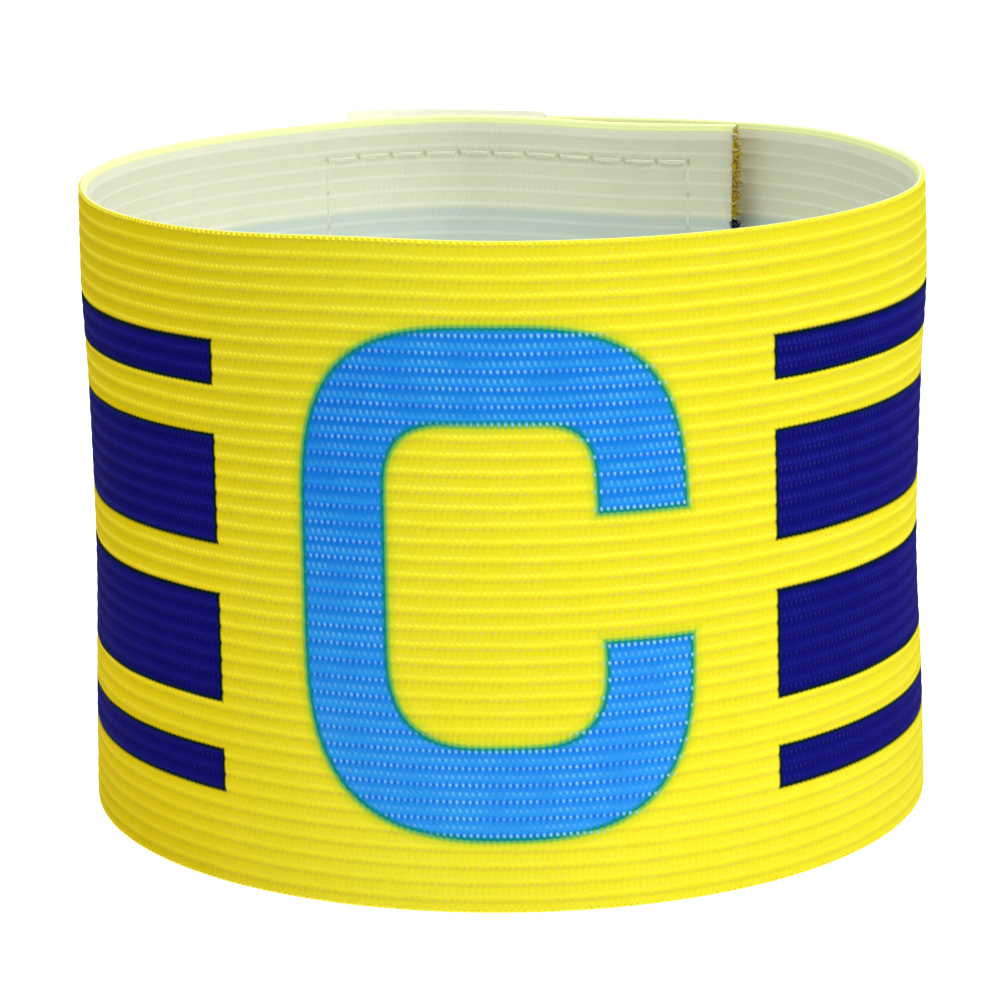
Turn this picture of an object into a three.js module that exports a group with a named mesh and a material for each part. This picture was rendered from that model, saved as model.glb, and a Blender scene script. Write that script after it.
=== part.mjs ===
// Captain armband: one ribbed knitted elastic strap, closed into a loop by a hook patch and a loop patch.
// Millimetres, +Z up. The loop stands on its lower edge and its front faces -Y.
// A turn is a place round the loop: its angle in degrees from the front centre towards +X.
import * as THREE from "three";

// Strap
const bandHeight = 70; // the strap's width, which stands upright
const bandRadius = 47; // loop axis to the rib crests
const bandWall = 1.2; // rib crest to inner face
const ribCount = 39;
const ribDepth = 0.35; // rib crest to groove
const selvedgeThinning = 0.3; // how much thinner than a groove the two edges are
const bandSteps = 66;

// Overlap of the two ends
const outerEndAngle = 202; // the free end, on the outside
const overlapAngle = 62.5; // how far the inner end runs on under the outer end
const clearance = 0.25; // between pieces that lie on each other

// Hook patch, sewn to the inner face of the free end
const hookThickness = 0.9;
const hookLength = 25;
const hookHeight = 69;
const hookOverhang = 0.75; // how far the patch reaches past the free end of the strap
const hookRise = 0.65; // how far the patch stands above the rim at its hidden end
const hookTiltHeight = 0.38; // how much higher it stands at the free end
const hookSteps = 6;

// Loop patch, sewn to the outer face of the inner end
const loopThickness = 0.9;
const loopLength = 54;
const loopHeight = 64;
const loopEndGap = 4.4; // cut end of the strap to the patch
const loopSteps = 12;

// Small departures of the loop from a round, level tube
const rimWaveHeight = 0.28; // most that the stretched rim rises or sinks
const closureRise = 0.3; // most that the inner layer's rim rises or sinks in the closure

// Shape of the outer face: shares of bandRadius at six levels, and the rim's rise as a share of rimWaveHeight
const levelShares = [0, 0.2, 0.42, 0.7, 0.84, 1];
const shapeRows = [
  { turn: 0, foot: 1.003, low: 1.003, mid: 1.003, high: 1.003, brow: 1.003, rim: 1.003, wave: 0 },
  { turn: 35, foot: 1.008, low: 1.004, mid: 1.002, high: 1, brow: 1, rim: 1.002, wave: -0.5 },
  { turn: 62, foot: 1.008, low: 1.005, mid: 1.002, high: 1, brow: 1.004, rim: 1.004, wave: 0 },
  { turn: 85, foot: 1.005, low: 0.995, mid: 0.979, high: 0.987, brow: 0.997, rim: 0.991, wave: 0 },
  { turn: 108, foot: 1.003, low: 0.99, mid: 0.985, high: 0.988, brow: 0.998, rim: 0.998, wave: 0 },
  { turn: 128, foot: 1, low: 0.996, mid: 0.994, high: 0.996, brow: 1.002, rim: 1.012, wave: 0.8 },
  { turn: 145, foot: 1, low: 1, mid: 1, high: 1, brow: 1, rim: 1.004, wave: 0.1 },
  { turn: 162, foot: 1, low: 1, mid: 1, high: 1, brow: 1, rim: 1, wave: -0.5 },
  { turn: 180, foot: 1, low: 1, mid: 1, high: 1, brow: 1, rim: 1, wave: 0 },
  { turn: 215, foot: 1, low: 1, mid: 1, high: 1, brow: 1, rim: 1, wave: 0 },
  { turn: 250, foot: 1.004, low: 0.998, mid: 0.992, high: 0.994, brow: 1, rim: 1.004, wave: 0 },
  { turn: 275, foot: 1.009, low: 1, mid: 0.988, high: 0.991, brow: 0.999, rim: 0.997, wave: -0.2 },
  { turn: 298, foot: 1.006, low: 1.008, mid: 1.006, high: 1.004, brow: 1.006, rim: 1.004, wave: -0.9 },
  { turn: 318, foot: 1.003, low: 1.002, mid: 1.001, high: 1.001, brow: 1.001, rim: 1.001, wave: -0.8 },
  { turn: 340, foot: 1.002, low: 1.002, mid: 1.002, high: 1.002, brow: 1.002, rim: 1.002, wave: 1 },
];

// Closure, by the turn past the free end: how far the inner layer lies inward and the outer layer
// outward, as shares of stackDepth, and the rise of the inner layer's rim as a share of closureRise
const closureRows = [
  { past: -62.5, inward: 0.95, outward: 0, rise: 0.5 },
  { past: -47.5, inward: 1.2, outward: 0, rise: -0.2 },
  { past: -37.5, inward: 1.15, outward: 0, rise: 0 },
  { past: -29.5, inward: 1.05, outward: 0.04, rise: 0.7 },
  { past: -21.5, inward: 0.78, outward: 0.27, rise: 1.1 },
  { past: -13.5, inward: 0.3, outward: 0.74, rise: 1 },
  { past: -5.5, inward: 0.06, outward: 0.97, rise: 0.8 },
  { past: 2.5, inward: 0, outward: 1.02, rise: 0.45 },
  { past: 12.5, inward: 0, outward: 1.02, rise: 0.15 },
  { past: 25, inward: 0, outward: 1.02, rise: 0 },
];

const fullTurn = 360;

// Value at a place between the keys, on a smooth curve through all values
function curveAt(keys, values, place) {
  const last = keys.length - 1;
  let index = 0;
  while (index < last - 1 && keys[index + 1] <= place) {
    index += 1;
  }
  const slopeAt = (key) => {
    const before = Math.max(key - 1, 0);
    const after = Math.min(key + 1, last);
    return (values[after] - values[before]) / (keys[after] - keys[before]);
  };
  const span = keys[index + 1] - keys[index];
  const t = THREE.MathUtils.clamp((place - keys[index]) / span, 0, 1);
  const start = values[index] * (1 + 2 * t) * (1 - t) ** 2;
  const end = values[index + 1] * (3 - 2 * t) * t ** 2;
  const leave = span * slopeAt(index) * t * (1 - t) ** 2;
  const arrive = span * slopeAt(index + 1) * (1 - t) * t ** 2;
  return start + end + leave - arrive;
}

// The rows once round and on at both ends, so that the curve through them closes
const roundRows = [-fullTurn, 0, fullTurn].flatMap((shift) =>
  shapeRows.map((row) => ({ ...row, turn: row.turn + shift })),
);
const roundTurns = roundRows.map((row) => row.turn);
const roundColumn = (name) => roundRows.map((row) => row[name]);
const levelColumns = ["foot", "low", "mid", "high", "brow", "rim"].map(roundColumn);
const waveColumn = roundColumn("wave");

function wrapTurn(turn) {
  return THREE.MathUtils.euclideanModulo(turn, fullTurn);
}

function outerRadius(turn, share) {
  const levels = levelColumns.map((column) => curveAt(roundTurns, column, wrapTurn(turn)));
  return bandRadius * curveAt(levelShares, levels, share);
}

// How far the pieces of the closure reach from the strap's outer to its inner layer
const stackDepth = bandWall + hookThickness + loopThickness + 3 * clearance;
const innerEndAngle = outerEndAngle - fullTurn - overlapAngle;

function closureAt(past, name) {
  const keys = closureRows.map((row) => row.past);
  const values = closureRows.map((row) => row[name]);
  return curveAt(keys, values, past);
}

// The strap starts with its inner end behind the front centre and runs round to its outer end
function inwardAt(turn) {
  const inner = stackDepth * closureAt(turn - outerEndAngle + fullTurn, "inward");
  const outer = -stackDepth * closureAt(turn - outerEndAngle, "outward");
  return inner + outer;
}

function riseAt(turn) {
  const wave = rimWaveHeight * curveAt(roundTurns, waveColumn, wrapTurn(turn));
  return wave + closureRise * closureAt(turn - outerEndAngle + fullTurn, "rise");
}

// Point at a turn and a height on the strap, measured inwards from the strap's rib crests there
function pointAt(turn, height, inward) {
  const share = THREE.MathUtils.clamp(height / bandHeight, 0, 1);
  const radius = outerRadius(turn, share) - inwardAt(turn) - inward;
  const angle = THREE.MathUtils.degToRad(turn);
  const z = height + riseAt(turn) * share;
  return new THREE.Vector3(radius * Math.sin(angle), -radius * Math.cos(angle), z);
}

function turnOf(length) {
  return THREE.MathUtils.radToDeg(length / bandRadius);
}

// Closed solid through equal rings of points, with a flat cap at each end.
// A ring runs up the outer face through outerCount points, and then down the inner face.
function loftSolid(rings, outerCount) {
  const count = rings[0].length;
  const faces = [];
  for (let ring = 0; ring < rings.length - 1; ring += 1) {
    for (let k = 0; k < count; k += 1) {
      const next = (k + 1) % count;
      const here = ring * count;
      const there = here + count;
      faces.push(here + k, there + next, here + next);
      faces.push(here + k, there + k, there + next);
    }
  }
  const lastStart = (rings.length - 1) * count;
  capFaces(rings[0], outerCount).forEach(([a, b, c]) => {
    faces.push(a, b, c);
  });
  capFaces(rings[rings.length - 1], outerCount).forEach(([a, b, c]) => {
    faces.push(lastStart + a, lastStart + c, lastStart + b);
  });
  const geometry = new THREE.BufferGeometry().setFromPoints(rings.flat());
  geometry.setIndex(faces);
  geometry.computeVertexNormals();
  return geometry;
}

// Triangles over one ring, between its outer and inner points from the foot to the rim
function capFaces(ring, outerCount) {
  const faces = [];
  let outer = 0;
  let inner = ring.length - 1;
  while (outer < outerCount - 1 || inner > outerCount) {
    const outerLeft = outer < outerCount - 1;
    const innerLeft = inner > outerCount;
    if (outerLeft && (!innerLeft || ring[outer + 1].z <= ring[inner - 1].z)) {
      faces.push([outer, outer + 1, inner]);
      outer += 1;
    } else {
      faces.push([outer, inner - 1, inner]);
      inner -= 1;
    }
  }
  return faces;
}

function turnsBetween(from, to, steps) {
  return Array.from({ length: steps + 1 }, (_, step) => from + ((to - from) * step) / steps);
}

// Strap section: ribs up the outer face, from the foot to the rim, and a plain inner face back down
function strapProfile() {
  const profile = [];
  const outerPoints = 2 * ribCount;
  for (let k = 0; k <= outerPoints; k += 1) {
    const atEdge = k === 0 || k === outerPoints;
    const inGroove = k % 2 === 0;
    const inward = (inGroove ? ribDepth : 0) + (atEdge ? selvedgeThinning : 0);
    profile.push({ inward, height: (bandHeight * k) / outerPoints });
  }
  [...levelShares].reverse().forEach((share) => {
    profile.push({ inward: bandWall, height: bandHeight * share });
  });
  return profile;
}

function buildBand() {
  const profile = strapProfile();
  const turns = turnsBetween(innerEndAngle, outerEndAngle, bandSteps);
  const rings = turns.map((turn) =>
    profile.map(({ inward, height }) => pointAt(turn, height, inward)),
  );
  return loftSolid(rings, profile.length - levelShares.length);
}

// Patch section: a plain slab from its outer face to its inner face, with points at the strap's levels
function patchRing(turn, outerFace, thickness, foot, height) {
  const up = levelShares.map((share) => pointAt(turn, foot + height * share, outerFace));
  const down = [...levelShares]
    .reverse()
    .map((share) => pointAt(turn, foot + height * share, outerFace + thickness));
  return [...up, ...down];
}

function buildHookPatch() {
  const endTurn = outerEndAngle + turnOf(hookOverhang);
  const startTurn = endTurn - turnOf(hookLength);
  const turns = turnsBetween(startTurn, endTurn, hookSteps);
  const outerFace = bandWall + clearance;
  const rings = turns.map((turn) => {
    const share = (turn - startTurn) / (endTurn - startTurn);
    const foot = bandHeight + hookRise + hookTiltHeight * share ** 2 - hookHeight;
    return patchRing(turn, outerFace, hookThickness, foot, hookHeight);
  });
  return loftSolid(rings, levelShares.length);
}

function buildLoopPatch() {
  const startTurn = innerEndAngle + turnOf(loopEndGap);
  const endTurn = startTurn + turnOf(loopLength);
  const turns = turnsBetween(startTurn, endTurn, loopSteps);
  const foot = (bandHeight - loopHeight) / 2;
  const outerFace = -clearance - loopThickness;
  const rings = turns.map((turn) => patchRing(turn, outerFace, loopThickness, foot, loopHeight));
  return loftSolid(rings, levelShares.length);
}

const knit = new THREE.MeshStandardMaterial({ color: 0xf2e414, roughness: 0.78, metalness: 0 });
const hookTape = new THREE.MeshStandardMaterial({ color: 0xe2e6e4, roughness: 0.55, metalness: 0 });
const loopTape = new THREE.MeshStandardMaterial({ color: 0xe9e8df, roughness: 0.92, metalness: 0 });

const armband = new THREE.Group();
const pieces = [
  { name: "band", geometry: buildBand(), material: knit },
  { name: "hook_patch", geometry: buildHookPatch(), material: hookTape },
  { name: "loop_patch", geometry: buildLoopPatch(), material: loopTape },
];
pieces.forEach(({ name, geometry, material }) => {
  const mesh = new THREE.Mesh(geometry, material);
  mesh.name = name;
  armband.add(mesh);
});

// The origin is the middle of the ground that the armband covers
const box = new THREE.Box3().setFromObject(armband);
const middle = box.getCenter(new THREE.Vector3());
armband.position.set(-middle.x, -middle.y, -box.min.z);
armband.updateMatrixWorld(true);

export default armband;
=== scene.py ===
"""Captain armband: the looks of a ribbed knitted elastic strap closed into a loop.

Lengths are in millimetres until a mesh is made, and then in metres.
A turn is a place round the loop: its angle in degrees from the front centre (-Y) towards +X.
Along the strap u is the length from the front centre, and v is the height over the strap's foot.
"""

import math
import random

import bpy
import numpy as np
from mathutils import Matrix, Vector


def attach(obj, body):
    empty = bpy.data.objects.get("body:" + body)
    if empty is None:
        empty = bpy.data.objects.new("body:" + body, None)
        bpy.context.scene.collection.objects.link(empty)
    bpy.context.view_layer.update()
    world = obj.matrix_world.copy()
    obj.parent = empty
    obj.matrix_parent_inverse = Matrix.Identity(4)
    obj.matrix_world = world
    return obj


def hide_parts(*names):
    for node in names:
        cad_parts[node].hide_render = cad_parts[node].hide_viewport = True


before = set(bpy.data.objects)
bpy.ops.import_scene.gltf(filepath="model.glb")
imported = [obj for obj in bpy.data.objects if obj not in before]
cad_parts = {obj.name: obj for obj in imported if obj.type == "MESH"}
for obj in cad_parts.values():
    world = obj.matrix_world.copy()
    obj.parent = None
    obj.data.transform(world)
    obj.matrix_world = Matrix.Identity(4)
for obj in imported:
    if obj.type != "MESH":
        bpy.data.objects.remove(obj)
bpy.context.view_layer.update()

MM = 0.001

# Strap
STRAP_HEIGHT = 70.0
STRAP_RADIUS = 47.0
STRAP_WALL = 1.2
RIB_COUNT = 39
RIB_PITCH = STRAP_HEIGHT / RIB_COUNT
RIB_PHASE = -0.55  # the grooves lie this much over whole rib pitches from the foot
GROOVE_DEPTH = 0.09
GROOVE_WIDTH = 0.28
SELVEDGE_THINNING = 0.4
SELVEDGE_REACH = 3.0
BACK_LINE_HEIGHT = 0.03
STITCH_PITCH = 0.69
STRAP_STEPS = 214
LOOP_AXIS = (0.092, -1.084)

# Overlap of the two ends
OUTER_END_TURN = 202.0
OVERLAP_TURN = 62.5
CLEARANCE = 0.25
FULL_TURN = 360.0
INNER_END_TURN = OUTER_END_TURN - FULL_TURN - OVERLAP_TURN

# Hook patch on the inner face of the free end
HOOK_THICKNESS = 0.9
HOOK_LENGTH = 25.0
HOOK_HEIGHT = 69.0
HOOK_OVERHANG = 0.75
HOOK_RISE = 0.65
HOOK_TILT = 0.38

# Loop patch on the outer face of the inner end
LOOP_THICKNESS = 0.9
LOOP_LENGTH = 54.0
LOOP_HEIGHT = 64.0
LOOP_END_GAP = 4.4

TAPE_BASE = 0.35
STACK_DEPTH = STRAP_WALL + HOOK_THICKNESS + LOOP_THICKNESS + 3 * CLEARANCE
RIM_WAVE = 0.28
CLOSURE_RISE = 0.3

# Shape of the outer face: shares of STRAP_RADIUS at six levels, and the rim's rise as a share of RIM_WAVE
LEVELS = (0, 0.2, 0.42, 0.7, 0.84, 1)
SHAPE_COLUMNS = ("turn", "foot", "low", "mid", "high", "brow", "rim", "wave")
SHAPE_ROWS = (
    (0, 1.003, 1.003, 1.003, 1.003, 1.003, 1.003, 0),
    (35, 1.008, 1.004, 1.002, 1, 1, 1.002, -0.5),
    (62, 1.008, 1.005, 1.002, 1, 1.004, 1.004, 0),
    (85, 1.005, 0.995, 0.979, 0.987, 0.997, 0.991, 0),
    (108, 1.003, 0.99, 0.985, 0.988, 0.998, 0.998, 0),
    (128, 1, 0.996, 0.994, 0.996, 1.002, 1.012, 0.8),
    (145, 1, 1, 1, 1, 1, 1.004, 0.1),
    (162, 1, 1, 1, 1, 1, 1, -0.5),
    (180, 1, 1, 1, 1, 1, 1, 0),
    (215, 1, 1, 1, 1, 1, 1, 0),
    (250, 1.004, 0.998, 0.992, 0.994, 1, 1.004, 0),
    (275, 1.009, 1, 0.988, 0.991, 0.999, 0.997, -0.2),
    (298, 1.006, 1.008, 1.006, 1.004, 1.006, 1.004, -0.9),
    (318, 1.003, 1.002, 1.001, 1.001, 1.001, 1.001, -0.8),
    (340, 1.002, 1.002, 1.002, 1.002, 1.002, 1.002, 1),
)

# Closure by the turn past the free end: shares of STACK_DEPTH, and of CLOSURE_RISE
CLOSURE_COLUMNS = ("past", "inward", "outward", "rise")
CLOSURE_ROWS = (
    (-62.5, 0.95, 0, 0.5),
    (-47.5, 1.2, 0, -0.2),
    (-37.5, 1.15, 0, 0),
    (-29.5, 1.05, 0.04, 0.7),
    (-21.5, 0.78, 0.27, 1.1),
    (-13.5, 0.3, 0.74, 1),
    (-5.5, 0.06, 0.97, 0.8),
    (2.5, 0, 1.02, 0.45),
    (12.5, 0, 1.02, 0.15),
    (25, 0, 1.02, 0),
)

# Letter C, drawn in u and v: outer outline, opening, and the gap between its two arms
LETTER_LEFT, LETTER_RIGHT = -21.95, 19.1
LETTER_FOOT, LETTER_TOP = 7.7, 61.5
LETTER_CORNERS = {"top_left": 20.9, "top_right": 19.7, "foot_left": 22.3, "foot_right": 22.2}
OPENING_LEFT, OPENING_RIGHT = -12.6, 9.3
OPENING_FOOT, OPENING_TOP = 17.9, 51.3
OPENING_CORNERS = {"top_left": 8.1, "top_right": 6.4, "foot_left": 11.1, "foot_right": 10.2}
CORNER_POWER = 3.0  # 2 would make the corners round, and more makes them squarer
ARM_GAP_FOOT, ARM_GAP_TOP = 28.8, 41.95
LETTER_LEAN, OPENING_LEAN = 0.04, 0.05  # how far the right sides lean back for each mm of height

# Stripes: (foot, top) in v, and where they begin on each side of the letter
STRIPES = ((10.1, 14.9), (20.0, 31.8), (37.0, 48.8), (53.9, 58.7))
STRIPE_LEFT_END = -32.75
STRIPE_RIGHT_END = 29.5
STRIPE_LEAN = 0.014

# Seams
SEAM_STITCH = 4.2
SEAM_GAP = 0.5
THREAD_RADIUS = 0.22
THREAD_SQUASH = 0.4
LEVEL_ROW_SINK, UPRIGHT_ROW_SINK = 0.3, 0.9  # shares of a stitch's lift
LEVEL_HOLE, UPRIGHT_HOLE = (0.26, 0.46), (0.28, 0.42)  # half widths and half heights
HOLE_SLANT = 0.9


def srgb(red, green, blue):
    """Linear colour of a screen colour from 0 to 255."""
    def linear(value):
        share = value / 255
        return share / 12.92 if share <= 0.04045 else ((share + 0.055) / 1.055) ** 2.4
    return (linear(red), linear(green), linear(blue), 1.0)


# Shape of the strap

def column(columns, rows, name):
    return np.array([row[columns.index(name)] for row in rows], float)


def curve_at(keys, values, places):
    """Values at an array of places, on a smooth curve through the keys."""
    keys = np.asarray(keys, float)
    places = np.asarray(places, float)
    values = np.asarray(values, float).reshape(len(keys), -1)
    values = np.broadcast_to(values, (len(keys), len(places)))
    last = len(keys) - 1
    after = np.minimum(np.arange(last + 1) + 1, last)
    before = np.maximum(np.arange(last + 1) - 1, 0)
    slopes = (values[after] - values[before]) / (keys[after] - keys[before])[:, None]
    index = np.clip(np.searchsorted(keys, places, side="right") - 1, 0, last - 1)
    here = np.arange(len(places))
    span = keys[index + 1] - keys[index]
    t = np.clip((places - keys[index]) / span, 0, 1)
    start = values[index, here] * (1 + 2 * t) * (1 - t) ** 2
    end = values[index + 1, here] * (3 - 2 * t) * t ** 2
    leave = span * slopes[index, here] * t * (1 - t) ** 2
    arrive = span * slopes[index + 1, here] * (1 - t) * t ** 2
    return start + end + leave - arrive


def round_column(name):
    """A shape column once round and on at both ends, so that the curve through it closes."""
    values = column(SHAPE_COLUMNS, SHAPE_ROWS, name)
    if name == "turn":
        return np.concatenate([values - FULL_TURN, values, values + FULL_TURN])
    return np.tile(values, 3)


ROUND_TURNS = round_column("turn")
ROUND_LEVELS = [round_column(name) for name in ("foot", "low", "mid", "high", "brow", "rim")]
ROUND_WAVE = round_column("wave")


def outer_radius(turns, shares):
    wrapped = np.mod(turns, FULL_TURN)
    levels = np.array([curve_at(ROUND_TURNS, values, wrapped) for values in ROUND_LEVELS])
    return STRAP_RADIUS * curve_at(LEVELS, levels, shares)


def closure_at(past, name):
    keys = column(CLOSURE_COLUMNS, CLOSURE_ROWS, "past")
    return curve_at(keys, column(CLOSURE_COLUMNS, CLOSURE_ROWS, name), past)


def inward_at(turns):
    inner = STACK_DEPTH * closure_at(turns - OUTER_END_TURN + FULL_TURN, "inward")
    outer = STACK_DEPTH * closure_at(turns - OUTER_END_TURN, "outward")
    return inner - outer


def rise_at(turns):
    wave = RIM_WAVE * curve_at(ROUND_TURNS, ROUND_WAVE, np.mod(turns, FULL_TURN))
    return wave + CLOSURE_RISE * closure_at(turns - OUTER_END_TURN + FULL_TURN, "rise")


def strap_points(turns, heights, inward):
    """Points (mm, in the row frame) at turns and heights, measured inwards from the rib crests there."""
    turns, heights, inward = (np.asarray(x, float).ravel() for x in (turns, heights, inward))
    shares = np.clip(heights / STRAP_HEIGHT, 0, 1)
    radii = outer_radius(turns, shares) - inward_at(turns) - inward
    angles = np.radians(turns)
    x = radii * np.sin(angles) + LOOP_AXIS[0]
    y = -radii * np.cos(angles) + LOOP_AXIS[1]
    return np.stack([x, y, heights + rise_at(turns) * shares], 1)


# Length u along the strap against the turn, measured at mid height
LENGTH_TURNS = np.linspace(INNER_END_TURN - 3, OUTER_END_TURN + 3, 2001)
LENGTH_LINE = strap_points(LENGTH_TURNS, np.full(2001, STRAP_HEIGHT / 2), np.zeros(2001))
LENGTH_SUMS = np.concatenate([[0], np.cumsum(np.linalg.norm(np.diff(LENGTH_LINE, axis=0), axis=1))])
LENGTH_SUMS = LENGTH_SUMS - np.interp(0, LENGTH_TURNS, LENGTH_SUMS)


def u_of(turns):
    return np.interp(turns, LENGTH_TURNS, LENGTH_SUMS)


STRAP_START, STRAP_END = (float(u_of(turn)) for turn in (INNER_END_TURN, OUTER_END_TURN))
STRAP_LENGTH = STRAP_END - STRAP_START


def turn_of(lengths):
    return np.interp(lengths, LENGTH_SUMS, LENGTH_TURNS)


def waver(places, scale, seed):
    """Smooth seeded unevenness from -1 to 1 along an array of places, with features of about that scale."""
    source = random.Random(seed)
    total = np.zeros_like(np.asarray(places, float))
    for _ in range(6):
        wavelength = scale * source.uniform(0.7, 2.2)
        total += np.sin(places * 2 * math.pi / wavelength + source.uniform(0, 2 * math.pi))
    return total / 6


# Meshes

def make_piece(name, points, faces, materials, uv=None, face_materials=None, smooth=True):
    """Mesh object from points in millimetres; uv gives (u, v) for each point."""
    mesh = bpy.data.meshes.new(name)
    mesh.from_pydata((np.asarray(points) * MM).tolist(), [], [list(face) for face in faces])
    for material in materials:
        mesh.materials.append(material)
    if face_materials is not None:
        mesh.polygons.foreach_set("material_index", np.asarray(face_materials, np.int32))
    mesh.polygons.foreach_set("use_smooth", [smooth] * len(mesh.polygons))
    if uv is not None:
        corners = np.empty(len(mesh.loops), np.int32)
        mesh.loops.foreach_get("vertex_index", corners)
        layer = mesh.uv_layers.new(name="strap")
        layer.data.foreach_set("uv", np.asarray(uv, np.float32)[corners].ravel())
    mesh.update()
    piece = bpy.data.objects.new(name, mesh)
    bpy.context.scene.collection.objects.link(piece)
    return piece


def ring_faces(rings, count):
    """Faces of a tube of rings, each a closed loop of points."""
    faces = []
    for ring in range(rings - 1):
        here, there = ring * count, (ring + 1) * count
        for k in range(count):
            following = (k + 1) % count
            faces.append((here + k, there + k, there + following, here + following))
    return faces


def tube(path, radii, sides, squash=1.0):
    """Closed tube along a path of points, with a radius at each. Returns points and faces."""
    path = np.asarray(path, float)
    steps = np.gradient(path, axis=0)
    steps /= np.maximum(np.linalg.norm(steps, axis=1, keepdims=True), 1e-9)
    guide = np.array([0.0, 0.0, 1.0]) if abs(steps[0][2]) < 0.9 else np.array([1.0, 0.0, 0.0])
    side = np.cross(steps, guide)
    side /= np.maximum(np.linalg.norm(side, axis=1, keepdims=True), 1e-9)
    up = np.cross(side, steps)
    angles = np.linspace(0, 2 * math.pi, sides, endpoint=False)
    across, upward = np.cos(angles)[None, :, None] * squash, np.sin(angles)[None, :, None]
    ring = across * side[:, None] + upward * up[:, None]
    points = path[:, None] + ring * np.asarray(radii, float)[:, None, None]
    points = points.reshape(-1, 3)
    faces = ring_faces(len(path), sides)
    faces.append(tuple(range(sides))[::-1])
    faces.append(tuple(range((len(path) - 1) * sides, len(path) * sides)))
    faces = [tuple(reversed(face)) for face in faces]
    return points, faces


class Heap:
    """Many small closed shapes gathered into one mesh."""

    def __init__(self):
        self.points, self.faces, self.uv = [], [], []
        self.count = 0

    def add(self, points, faces, uv):
        self.points.append(points)
        self.uv.append(np.broadcast_to(uv, (len(points), 2)))
        self.faces.extend(tuple(index + self.count for index in face) for face in faces)
        self.count += len(points)

    def piece(self, name, materials):
        return make_piece(name, np.concatenate(self.points), self.faces, materials, np.concatenate(self.uv))


# Material nodes

class Field:
    """A number that varies over a surface. Arithmetic on it adds Math nodes to its tree."""

    def __init__(self, tree, socket):
        self.tree, self.socket = tree, socket

    def math(self, operation, *others):
        node = self.tree.nodes.new("ShaderNodeMath")
        node.operation = operation
        for slot, value in zip(node.inputs, (self, *others)):
            if isinstance(value, Field):
                self.tree.links.new(value.socket, slot)
            else:
                slot.default_value = value
        return Field(self.tree, node.outputs[0])

    def __add__(self, other):
        return self.math("ADD", other)

    def __sub__(self, other):
        return self.math("SUBTRACT", other)

    def __mul__(self, other):
        return self.math("MULTIPLY", other)

    def __neg__(self):
        return self.math("MULTIPLY", -1.0)

    def abs(self):
        return self.math("ABSOLUTE")

    def fraction(self):
        return self.math("FRACT")

    def above(self, other):
        return self.math("GREATER_THAN", other)

    def least(self, other):
        return self.math("MINIMUM", other)

    def most(self, other):
        return self.math("MAXIMUM", other)

    def power(self, other):
        return self.math("POWER", other)

    def wave(self, turns=0.0):
        """Cosine of a number of whole turns, from 0 to 1."""
        return (self + turns).math("MULTIPLY", 2 * math.pi).math("COSINE").math("MULTIPLY_ADD", 0.5, 0.5)

    def smooth(self, low, high):
        """0 below low, 1 above high, and smooth between; low may be the larger."""
        node = self.tree.nodes.new("ShaderNodeMapRange")
        node.interpolation_type = "SMOOTHSTEP"
        self.tree.links.new(self.socket, node.inputs["Value"])
        if low < high:
            ends = (low, high, 0.0, 1.0)
        else:
            ends = (high, low, 1.0, 0.0)
        for name, value in zip(("From Min", "From Max", "To Min", "To Max"), ends):
            node.inputs[name].default_value = value
        return Field(self.tree, node.outputs["Result"])

    def hump(self, centre, width):
        """1 at the centre, falling smoothly to 0 at width to either side."""
        return (self - centre).abs().smooth(width, 0.0)


def new_material(name):
    material = bpy.data.materials.new(name)
    material.use_nodes = True
    tree = material.node_tree
    shader = tree.nodes["Principled BSDF"]
    return material, tree, shader


def strap_place(tree):
    """u and v of the strap, in millimetres."""
    node = tree.nodes.new("ShaderNodeUVMap")
    node.uv_map = "strap"
    split = tree.nodes.new("ShaderNodeSeparateXYZ")
    tree.links.new(node.outputs["UV"], split.inputs[0])
    return Field(tree, split.outputs["X"]), Field(tree, split.outputs["Y"])


def noise(tree, u, v, scale, detail=2.0, seed=0.0):
    """Noise from 0 to 1 over the strap, with features about 1/scale mm across."""
    place = tree.nodes.new("ShaderNodeCombineXYZ")
    tree.links.new(u.socket, place.inputs["X"])
    tree.links.new(v.socket, place.inputs["Y"])
    place.inputs["Z"].default_value = seed
    node = tree.nodes.new("ShaderNodeTexNoise")
    node.inputs["Scale"].default_value = scale
    node.inputs["Detail"].default_value = detail
    tree.links.new(place.outputs[0], node.inputs["Vector"])
    return Field(tree, node.outputs["Fac"])


def blend_colours(tree, share, first, second, mode="MIX"):
    """Mix of two colours, each a socket or a plain colour."""
    node = tree.nodes.new("ShaderNodeMix")
    node.data_type = "RGBA"
    node.blend_type = mode
    if isinstance(share, Field):
        tree.links.new(share.socket, node.inputs["Factor"])
    else:
        node.inputs["Factor"].default_value = share
    for slot, colour in ((node.inputs["A"], first), (node.inputs["B"], second)):
        if isinstance(colour, bpy.types.NodeSocket):
            tree.links.new(colour, slot)
        else:
            slot.default_value = colour
    colour_outputs = [output for output in node.outputs if output.type == "RGBA"]
    return colour_outputs[0]


def add_bump(tree, shader, height, distance):
    node = tree.nodes.new("ShaderNodeBump")
    node.inputs["Strength"].default_value = 1.0
    node.inputs["Distance"].default_value = distance * MM
    tree.links.new(height.socket, node.inputs["Height"])
    tree.links.new(node.outputs["Normal"], shader.inputs["Normal"])


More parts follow.
